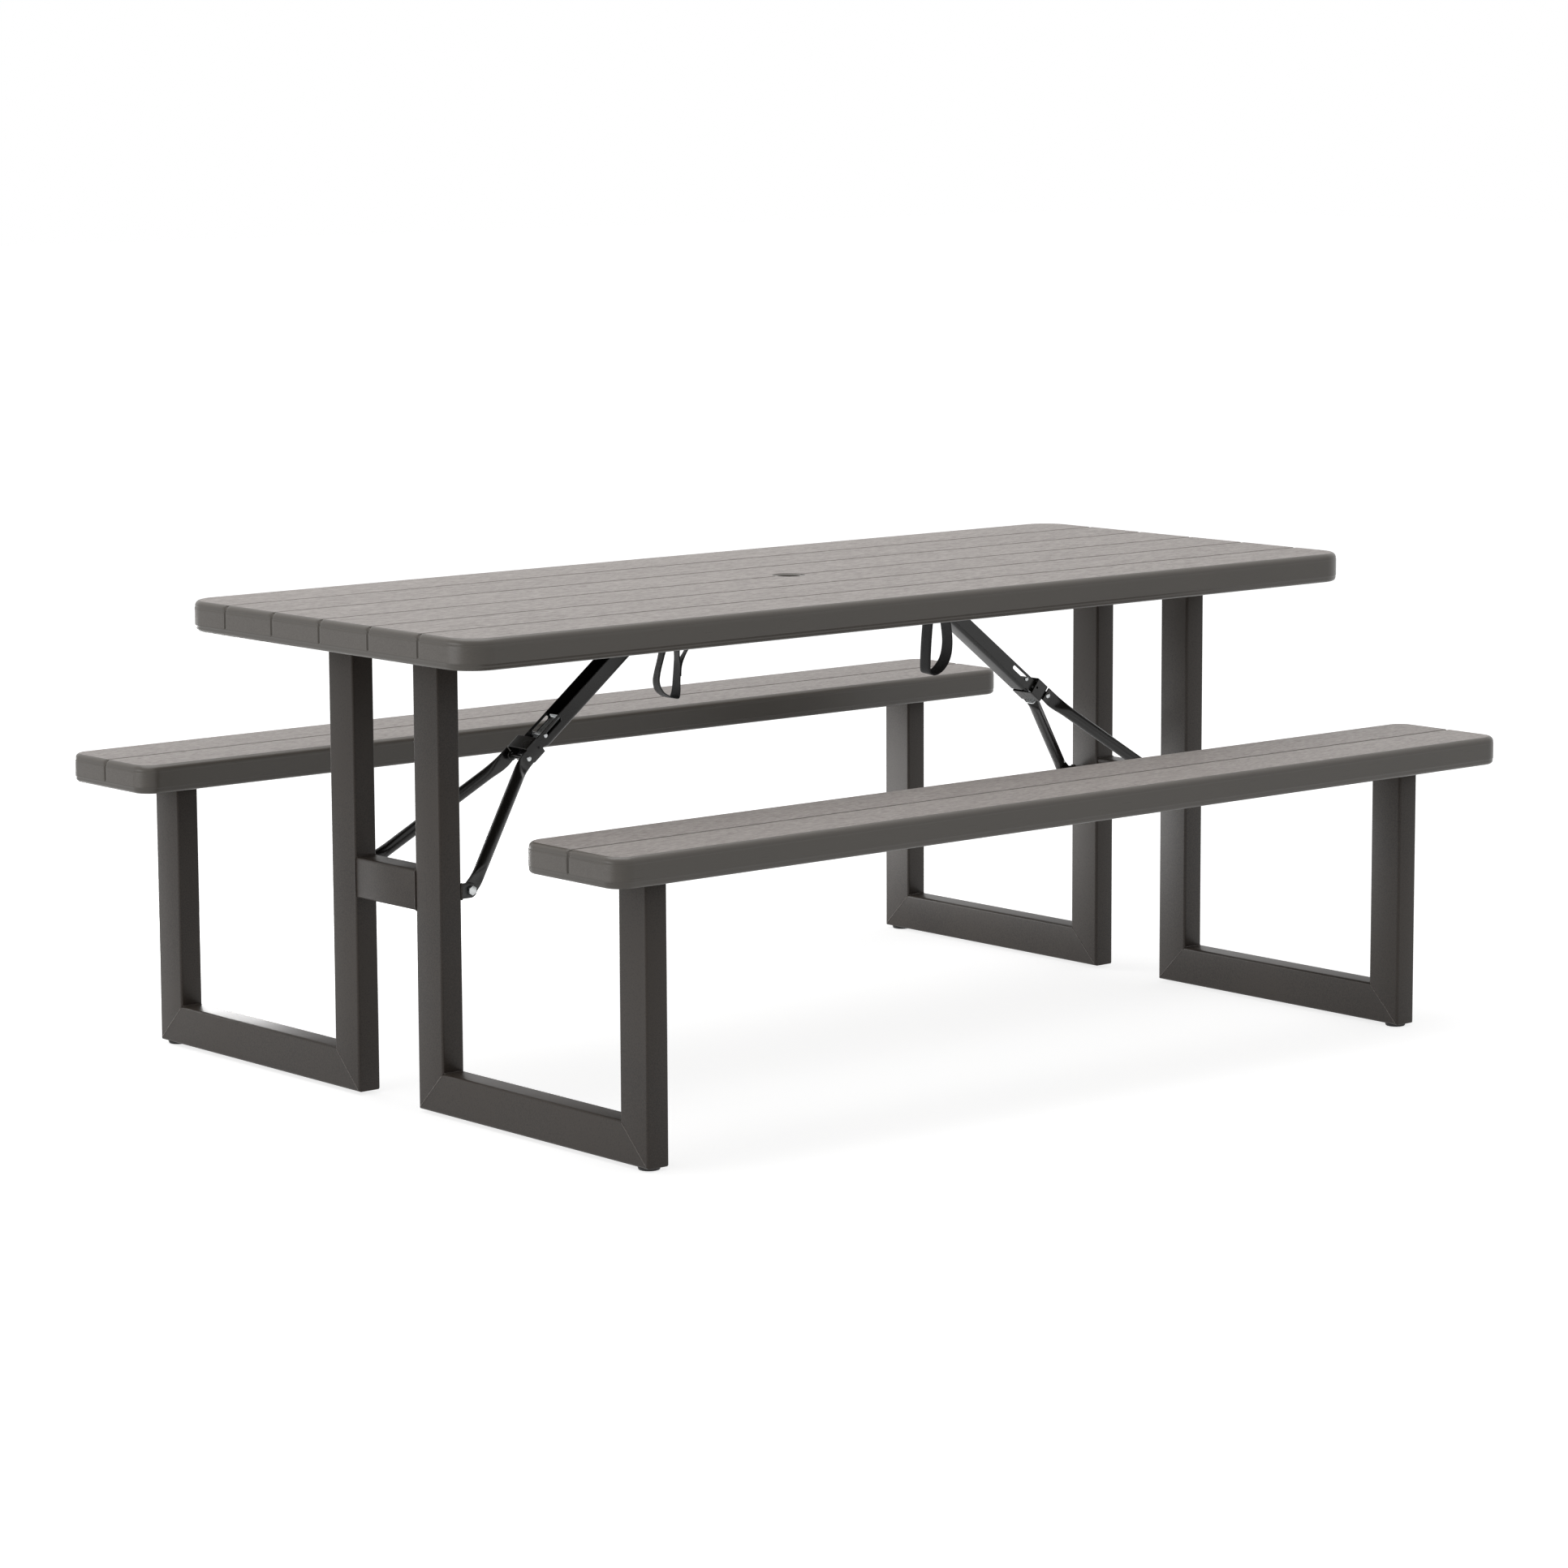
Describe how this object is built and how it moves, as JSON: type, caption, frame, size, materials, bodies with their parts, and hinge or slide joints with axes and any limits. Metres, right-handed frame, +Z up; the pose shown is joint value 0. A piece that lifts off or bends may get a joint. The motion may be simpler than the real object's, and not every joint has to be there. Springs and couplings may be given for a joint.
{
  "type": "folding picnic table",
  "caption": "Folding picnic table: wood-grain plank top with attached benches on W-shaped steel tube end frames that fold flat under it, with locking braces.",
  "frame": {"origin": "on the floor, below the middle of the table top", "axes": "+X along the table, +Y across it away from the camera side, +Z up"},
  "size_m": [1.829, 1.4086, 0.7472],
  "materials": {
    "plank_plastic": "warm grey-brown moulded plastic, wood-grain top faces",
    "frame_paint": "satin dark brown-grey powder coat",
    "black_paint": "satin black powder coat",
    "zinc": "bright zinc plate",
    "glide_rubber": "black moulded glide",
    "webbing": "black woven webbing"
  },
  "bodies": {
    "table": {"table_top": "plank_plastic", "left_hinge_rod": "frame_paint", "right_hinge_rod": "frame_paint", "left_brace_rod": "black_paint", "right_brace_rod": "black_paint", "left_strap": "webbing", "right_strap": "webbing"},
    "left_frame": {"left_near_leg": "frame_paint", "left_near_rail": "frame_paint", "left_near_post": "frame_paint", "left_near_foot": "glide_rubber", "left_near_leg_bracket": "frame_paint", "left_near_post_bracket": "frame_paint", "left_near_ear": "black_paint", "left_near_ear_bolt": "zinc", "left_far_leg": "frame_paint", "left_far_rail": "frame_paint", "left_far_post": "frame_paint", "left_far_foot": "glide_rubber", "left_far_leg_bracket": "frame_paint", "left_far_post_bracket": "frame_paint", "left_far_ear": "black_paint", "left_far_ear_bolt": "zinc", "left_cross_bar": "frame_paint"},
    "left_channel": {"left_brace_channel": "black_paint"},
    "left_struts": {"left_near_strut": "black_paint", "left_far_strut": "black_paint"},
    "left_sleeve": {"left_lock_sleeve": "black_paint", "left_lock_plate": "zinc"},
    "left_near_axle": {"left_near_axle": "zinc"},
    "left_far_axle": {"left_far_axle": "zinc"},
    "right_frame": {"right_near_leg": "frame_paint", "right_near_rail": "frame_paint", "right_near_post": "frame_paint", "right_near_foot": "glide_rubber", "right_near_leg_bracket": "frame_paint", "right_near_post_bracket": "frame_paint", "right_near_ear": "black_paint", "right_near_ear_bolt": "zinc", "right_far_leg": "frame_paint", "right_far_rail": "frame_paint", "right_far_post": "frame_paint", "right_far_foot": "glide_rubber", "right_far_leg_bracket": "frame_paint", "right_far_post_bracket": "frame_paint", "right_far_ear": "black_paint", "right_far_ear_bolt": "zinc", "right_cross_bar": "frame_paint"},
    "right_channel": {"right_brace_channel": "black_paint"},
    "right_struts": {"right_near_strut": "black_paint", "right_far_strut": "black_paint"},
    "right_sleeve": {"right_lock_sleeve": "black_paint", "right_lock_plate": "zinc"},
    "right_near_axle": {"right_near_axle": "zinc"},
    "right_far_axle": {"right_far_axle": "zinc"},
    "bench_near": {"bench_near": "plank_plastic", "bench_track_near": "black_paint"},
    "bench_far": {"bench_far": "plank_plastic", "bench_track_far": "frame_paint"}
  },
  "joints": [
    {"name": "left_fold", "type": "hinge", "parent": "table", "child": "left_frame", "pos_m": [-0.73193, 0, 0.715], "axis": [0, -1, 0], "range_deg": [0, 90]},
    {"name": "left_channel_turn", "type": "hinge", "parent": "table", "child": "left_channel", "pos_m": [-0.28691, 0, 0.70498], "axis": [0, 1, 0], "range_deg": [0, 37.96]},
    {"name": "left_strut_turn", "type": "hinge", "parent": "left_frame", "child": "left_struts", "pos_m": [-0.7428, 0, 0.339], "axis": [0, -1, 0], "range_deg": [0, 48.63]},
    {"name": "left_lock_slide", "type": "slide", "parent": "left_channel", "child": "left_sleeve", "axis": [0.7888, 0, 0.6147], "range_m": [0, 0.011]},
    {"name": "left_near_axle_turn", "type": "hinge", "parent": "left_frame", "child": "left_near_axle", "pos_m": [-0.73193, -0.5933, 0.4418], "axis": [0, 1, 0], "range_deg": [0, 90]},
    {"name": "left_far_axle_turn", "type": "hinge", "parent": "left_frame", "child": "left_far_axle", "pos_m": [-0.73193, 0.5933, 0.4418], "axis": [0, 1, 0], "range_deg": [0, 90]},
    {"name": "right_fold", "type": "hinge", "parent": "table", "child": "right_frame", "pos_m": [0.73193, 0, 0.715], "axis": [0, 1, 0], "range_deg": [0, 90]},
    {"name": "right_channel_turn", "type": "hinge", "parent": "table", "child": "right_channel", "pos_m": [0.28691, 0, 0.70498], "axis": [0, -1, 0], "range_deg": [0, 37.96]},
    {"name": "right_strut_turn", "type": "hinge", "parent": "right_frame", "child": "right_struts", "pos_m": [0.7428, 0, 0.339], "axis": [0, 1, 0], "range_deg": [0, 48.63]},
    {"name": "right_lock_slide", "type": "slide", "parent": "right_channel", "child": "right_sleeve", "axis": [-0.7888, 0, 0.6147], "range_m": [0, 0.011]},
    {"name": "right_near_axle_turn", "type": "hinge", "parent": "right_frame", "child": "right_near_axle", "pos_m": [0.73193, -0.5933, 0.4418], "axis": [0, -1, 0], "range_deg": [0, 90]},
    {"name": "right_far_axle_turn", "type": "hinge", "parent": "right_frame", "child": "right_far_axle", "pos_m": [0.73193, 0.5933, 0.4418], "axis": [0, -1, 0], "range_deg": [0, 90]},
    {"name": "bench_near_slide", "type": "slide", "parent": "left_near_axle", "child": "bench_near", "axis": [-1, 0, 0], "range_m": [0, 0.2732]},
    {"name": "bench_far_slide", "type": "slide", "parent": "left_far_axle", "child": "bench_far", "axis": [-1, 0, 0], "range_m": [0, 0.2732]}
  ],
  "couplings": [
    {"joint": "left_channel_turn", "follows": "left_fold", "ratio": 0.4218},
    {"joint": "left_strut_turn", "follows": "left_fold", "ratio": 0.5403},
    {"joint": "left_near_axle_turn", "follows": "left_fold", "ratio": 1},
    {"joint": "left_far_axle_turn", "follows": "left_fold", "ratio": 1},
    {"joint": "right_fold", "follows": "left_fold", "ratio": 1},
    {"joint": "right_channel_turn", "follows": "left_fold", "ratio": 0.4218},
    {"joint": "right_strut_turn", "follows": "left_fold", "ratio": 0.5403},
    {"joint": "right_near_axle_turn", "follows": "left_fold", "ratio": 1},
    {"joint": "right_far_axle_turn", "follows": "left_fold", "ratio": 1},
    {"joint": "bench_near_slide", "follows": "left_fold", "m_per_rad": 0.1739},
    {"joint": "bench_far_slide", "follows": "left_fold", "m_per_rad": 0.1739}
  ]
}
